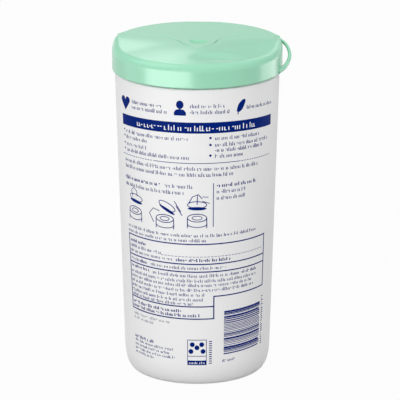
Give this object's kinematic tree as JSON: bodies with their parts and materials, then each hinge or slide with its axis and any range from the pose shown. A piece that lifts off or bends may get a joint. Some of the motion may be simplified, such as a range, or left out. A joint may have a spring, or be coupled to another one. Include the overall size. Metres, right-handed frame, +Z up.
{
  "type": "wet wipes canister",
  "caption": "Round tapered plastic canister of moist wipes, with a wide neck, a push-on cap with a flip lid, a dispensing hole and a hang loop, and the centre-pull roll inside.",
  "frame": {"origin": "on the canister's axis, in the plane that it stands on; the middle of the base panel lies 0.8 mm above it", "axes": "+Z up along the canister's axis; the lid's thumb tab points to -Y, its hinge is at +Y, and the hang loop is on the +X side"},
  "size_m": [0.0882, 0.0838, 0.1671],
  "materials": {
    "canister_plastic": "smooth blow-moulded white polyethylene with a soft gloss, printed in dark blue",
    "cap_plastic": "pale green injection-moulded polypropylene, satin gloss",
    "moist_wipes": "white nonwoven, moist"
  },
  "bodies": {
    "canister": {"canister_body": "canister_plastic", "wipes_roll": "moist_wipes"},
    "cap": {"cap_base": "cap_plastic"},
    "lid": {"flip_lid": "cap_plastic"}
  },
  "joints": [
    {"name": "cap_lift", "type": "slide", "parent": "canister", "child": "cap", "axis": [0, 0, 1], "range_m": [0, 0.03]},
    {"name": "lid_hinge", "type": "hinge", "parent": "cap", "child": "lid", "pos_m": [0, 0.04138, 0.16545], "axis": [-1, 0, 0], "range_deg": [0, 120]}
  ]
}
